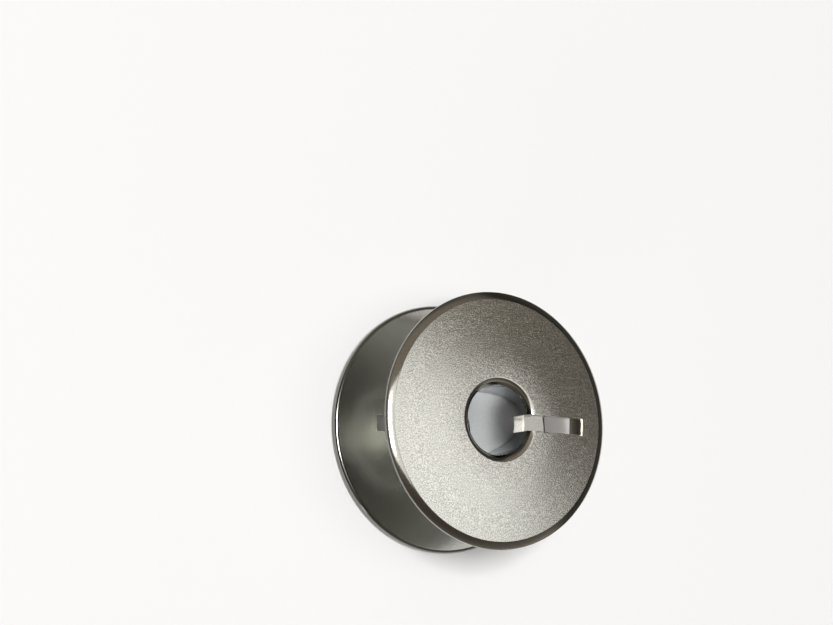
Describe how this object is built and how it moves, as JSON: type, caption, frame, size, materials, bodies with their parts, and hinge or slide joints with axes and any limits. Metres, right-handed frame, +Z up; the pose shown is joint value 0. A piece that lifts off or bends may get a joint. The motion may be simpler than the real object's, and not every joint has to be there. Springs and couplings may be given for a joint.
{
  "type": "sewing machine bobbin",
  "caption": "Flanged steel bobbin for sewing thread, with a through bore and an open slot from the bore across each flange to catch the thread end.",
  "frame": {"origin": "centre of the lower flange's outer face, on the bore axis", "axes": "+Z up the bore axis, +X along the upper flange's slot"},
  "size_m": [0.0206, 0.0206, 0.0094],
  "materials": {
    "nickel_plate": "satin nickel plate on turned steel, polished at the rims and in the bore"
  },
  "bodies": {
    "root": {"bobbin": "nickel_plate"}
  },
  "joints": []
}
